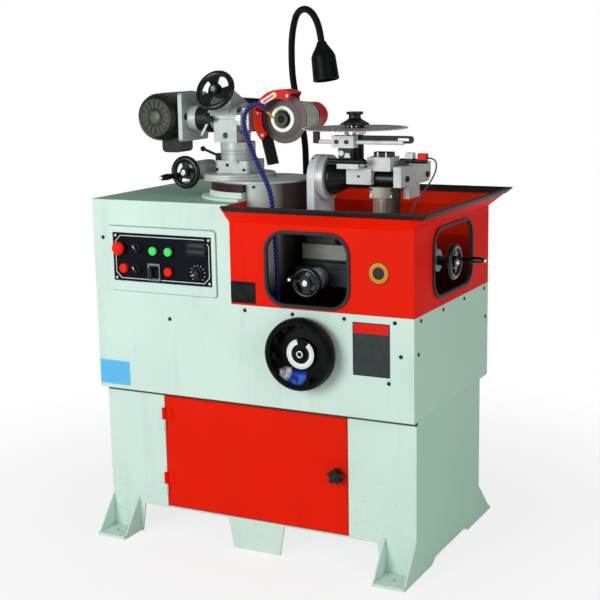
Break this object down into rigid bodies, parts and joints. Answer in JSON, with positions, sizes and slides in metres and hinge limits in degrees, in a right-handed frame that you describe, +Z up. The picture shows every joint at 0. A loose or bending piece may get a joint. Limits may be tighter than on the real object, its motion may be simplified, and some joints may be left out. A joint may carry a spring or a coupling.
{
  "type": "saw blade sharpening machine",
  "caption": "Bench-height machine that grinds circular saw blade teeth: cabinet, splash tray, blade holder on slides, swivelling grinding head, control panel and work lamp.",
  "frame": {"origin": "on the floor at the centre of the four anchor holes in the foot pads", "axes": "+X to the machine's right seen from the operator's side, +Y towards the rear, +Z up"},
  "size_m": [0.9856, 0.626, 1.3909],
  "materials": {
    "white_paint": "semi-gloss",
    "red_paint": "semi-gloss",
    "black_rubber": "matte",
    "panel_black": "satin",
    "red_plastic": "gloss",
    "green_plastic": "gloss",
    "black_plastic": "satin",
    "grey_cast": "painted",
    "steel": "machined",
    "olive_cast": "painted",
    "chrome": "polished",
    "motor_olive": "painted",
    "gear_motor_beige": "satin",
    "belt_rubber": "matte",
    "cover_black": "satin",
    "wheel_abrasive": "rough",
    "guard_red": "semi-gloss",
    "flap_black": "matte",
    "blade_steel": "ground",
    "hose_blue": "matte",
    "brass": "machined",
    "cable_grey": "matte",
    "lamp_black": "satin"
  },
  "bodies": {
    "cabinet": {"lower_cabinet": "white_paint", "upper_cabinet": "white_paint", "splash_tray": "red_paint", "rubber_edging": "black_rubber", "control_panel": "panel_black", "column": "grey_cast", "head_base": "grey_cast", "lamp_gooseneck": "lamp_black", "lamp_head": "lamp_black", "coolant_hose": "hose_blue", "hose_nozzle": "brass"},
    "door": {"cabinet_door": "red_paint"},
    "latch": {"door_knob": "black_plastic"},
    "emergency_stop": {"emergency_stop": "red_plastic"},
    "start_button": {"start_button": "green_plastic"},
    "wheel_start_button": {"wheel_start_button": "green_plastic"},
    "stop_button": {"stop_button": "red_plastic"},
    "mode_selector": {"mode_selector": "black_plastic"},
    "cycle_selector": {"cycle_selector": "black_plastic"},
    "main_switch": {"main_switch": "black_plastic"},
    "speed_knob": {"speed_knob": "black_plastic"},
    "lift_wheel": {"front_handwheel": "black_plastic", "lift_shaft": "steel"},
    "lift_screw": {"lift_screw": "steel"},
    "bed": {"slide_bed": "cover_black"},
    "cross_wheel": {"cross_handwheel": "black_plastic", "cross_screw": "chrome"},
    "saddle": {"saddle": "olive_cast"},
    "long_wheel": {"long_handwheel": "black_plastic", "long_screw": "chrome"},
    "carriage": {"carriage": "grey_cast", "holder_post": "grey_cast"},
    "holder": {"tilt_disc": "steel", "holder_bar": "cover_black", "slider_block": "steel", "end_bracket": "steel", "gear_motor": "gear_motor_beige", "blade_sensor": "red_plastic", "sensor_cable": "cable_grey"},
    "pawl": {"pawl_rod": "steel"},
    "blade": {"saw_blade": "blade_steel", "blade_arbor": "steel"},
    "blade_clamp": {"clamp_knob": "cover_black"},
    "head": {"swivel_head": "grey_cast"},
    "swivel_wheel": {"swivel_handwheel": "black_plastic"},
    "tilt_wheel": {"tilt_handwheel": "black_plastic"},
    "tilt_lever": {"tilt_clamp_lever": "steel"},
    "swivel_lever": {"swivel_clamp_lever": "steel"},
    "tilting_head": {"head_tube": "grey_cast", "motor_body": "motor_olive", "spindle_housing": "grey_cast", "wheel_guard": "guard_red", "guard_flap": "flap_black", "belt_housing": "cover_black", "drive_belt": "belt_rubber", "spindle_cap": "red_plastic"},
    "spindle": {"grinding_spindle": "steel", "grinding_wheel": "wheel_abrasive", "wheel_flange": "chrome"},
    "rotor": {"motor_rotor": "steel"}
  },
  "joints": [
    {"name": "door_hinge", "type": "hinge", "parent": "cabinet", "child": "door", "pos_m": [-0.268, -0.24, 0.237], "axis": [0, 0, -1], "range_deg": [0, 105]},
    {"name": "latch_turn", "type": "hinge", "parent": "door", "child": "latch", "pos_m": [0.236, -0.235, 0.241], "axis": [0, -1, 0], "range_deg": [0, 90]},
    {"name": "emergency_stop_push", "type": "slide", "parent": "cabinet", "child": "emergency_stop", "axis": [0, 1, 0], "range_m": [0, 0.005], "stiffness_N_per_m": 1200, "springref_m": -0.0005},
    {"name": "start_push", "type": "slide", "parent": "cabinet", "child": "start_button", "axis": [0, 1, 0], "range_m": [0, 0.003], "stiffness_N_per_m": 900, "springref_m": -0.0005},
    {"name": "wheel_start_push", "type": "slide", "parent": "cabinet", "child": "wheel_start_button", "axis": [0, 1, 0], "range_m": [0, 0.003], "stiffness_N_per_m": 900, "springref_m": -0.0005},
    {"name": "stop_push", "type": "slide", "parent": "cabinet", "child": "stop_button", "axis": [0, 1, 0], "range_m": [0, 0.003], "stiffness_N_per_m": 900, "springref_m": -0.0005},
    {"name": "mode_turn", "type": "hinge", "parent": "cabinet", "child": "mode_selector", "pos_m": [-0.31, -0.265, 0.784], "axis": [0, 1, 0], "range_deg": [-45, 45]},
    {"name": "cycle_turn", "type": "hinge", "parent": "cabinet", "child": "cycle_selector", "pos_m": [-0.313, -0.265, 0.729], "axis": [0, 1, 0], "range_deg": [-45, 45]},
    {"name": "main_switch_turn", "type": "hinge", "parent": "cabinet", "child": "main_switch", "pos_m": [-0.262, -0.265, 0.723], "axis": [0, 1, 0], "range_deg": [0, 90]},
    {"name": "speed_turn", "type": "hinge", "parent": "cabinet", "child": "speed_knob", "pos_m": [-0.133, -0.265, 0.727], "axis": [0, 1, 0], "range_deg": [0, 270]},
    {"name": "lift", "type": "slide", "parent": "cabinet", "child": "bed", "axis": [0, 0, 1], "range_m": [-0.014, 0]},
    {"name": "lift_wheel_turn", "type": "hinge", "parent": "cabinet", "child": "lift_wheel", "pos_m": [0.165, -0.261, 0.553], "axis": [0, 1, 0], "range_deg": [-5041, 1]},
    {"name": "lift_screw_turn", "type": "hinge", "parent": "cabinet", "child": "lift_screw", "pos_m": [0.211, -0.05, 0.553], "axis": [0, 0, 1], "range_deg": [-505, 1]},
    {"name": "cross_slide", "type": "slide", "parent": "bed", "child": "saddle", "axis": [0, 1, 0], "range_m": [-0.025, 0.025]},
    {"name": "cross_wheel_turn", "type": "hinge", "parent": "bed", "child": "cross_wheel", "pos_m": [0.15, -0.22, 0.715], "axis": [0, 1, 0], "range_deg": [-2251, 2251]},
    {"name": "long_slide", "type": "slide", "parent": "saddle", "child": "carriage", "axis": [1, 0, 0], "range_m": [-0.006, 0.05]},
    {"name": "long_wheel_turn", "type": "hinge", "parent": "saddle", "child": "long_wheel", "pos_m": [0.468, -0.05, 0.7608], "axis": [1, 0, 0], "range_deg": [-541, 4501]},
    {"name": "holder_tilt", "type": "hinge", "parent": "carriage", "child": "holder", "pos_m": [0.10797, -0.05, 0.957], "axis": [1, 0, 0], "range_deg": [-15, 15]},
    {"name": "pawl_stroke", "type": "slide", "parent": "holder", "child": "pawl", "axis": [1, 0, 0], "range_m": [-0.012, 0.012]},
    {"name": "blade_spin", "type": "hinge", "parent": "holder", "child": "blade", "pos_m": [0.20597, -0.05, 1.081], "axis": [0, 0, 1], "continuous": true},
    {"name": "blade_clamp_turn", "type": "hinge", "parent": "blade", "child": "blade_clamp", "pos_m": [0.20597, -0.05, 1.096], "axis": [0, 0, 1], "range_deg": [0, 360]},
    {"name": "head_swivel", "type": "hinge", "parent": "cabinet", "child": "head", "pos_m": [-0.13, -0.05, 0.963], "axis": [0, 0, 1], "range_deg": [0, 15]},
    {"name": "swivel_wheel_turn", "type": "hinge", "parent": "cabinet", "child": "swivel_wheel", "pos_m": [-0.234, -0.144, 0.968], "axis": [0, 1, 0], "range_deg": [-1, 601]},
    {"name": "head_tilt", "type": "hinge", "parent": "head", "child": "tilting_head", "pos_m": [-0.19, -0.05, 1.102], "axis": [1, 0, 0], "range_deg": [-15, 15]},
    {"name": "tilt_lever_turn", "type": "hinge", "parent": "head", "child": "tilt_lever", "pos_m": [-0.186, -0.088, 1.102], "axis": [0, 1, 0], "range_deg": [-30, 30]},
    {"name": "swivel_lever_turn", "type": "hinge", "parent": "head", "child": "swivel_lever", "pos_m": [-0.1685, -0.0885, 1], "axis": [0, 0, 1], "range_deg": [-30, 30]},
    {"name": "wheel_spin", "type": "hinge", "parent": "tilting_head", "child": "spindle", "pos_m": [0.008, -0.05, 1.102], "axis": [0, 1, 0], "continuous": true},
    {"name": "tilt_wheel_turn", "type": "hinge", "parent": "head", "child": "tilt_wheel", "pos_m": [-0.168, -0.09411, 1.17581], "axis": [0, 0.8988, -0.4384], "range_deg": [-601, 601]},
    {"name": "motor_spin", "type": "hinge", "parent": "tilting_head", "child": "rotor", "pos_m": [-0.345, 0, 1.106], "axis": [0, 1, 0], "continuous": true}
  ],
  "couplings": [
    {"joint": "lift_wheel_turn", "follows": "lift", "rad_per_m": 6283.2},
    {"joint": "lift_screw_turn", "follows": "lift", "rad_per_m": 628.32},
    {"joint": "cross_wheel_turn", "follows": "cross_slide", "rad_per_m": 1570.8},
    {"joint": "long_wheel_turn", "follows": "long_slide", "rad_per_m": 1570.8},
    {"joint": "swivel_wheel_turn", "follows": "head_swivel", "ratio": 40},
    {"joint": "tilt_wheel_turn", "follows": "head_tilt", "ratio": 40},
    {"joint": "motor_spin", "follows": "wheel_spin", "ratio": 0.7}
  ]
}
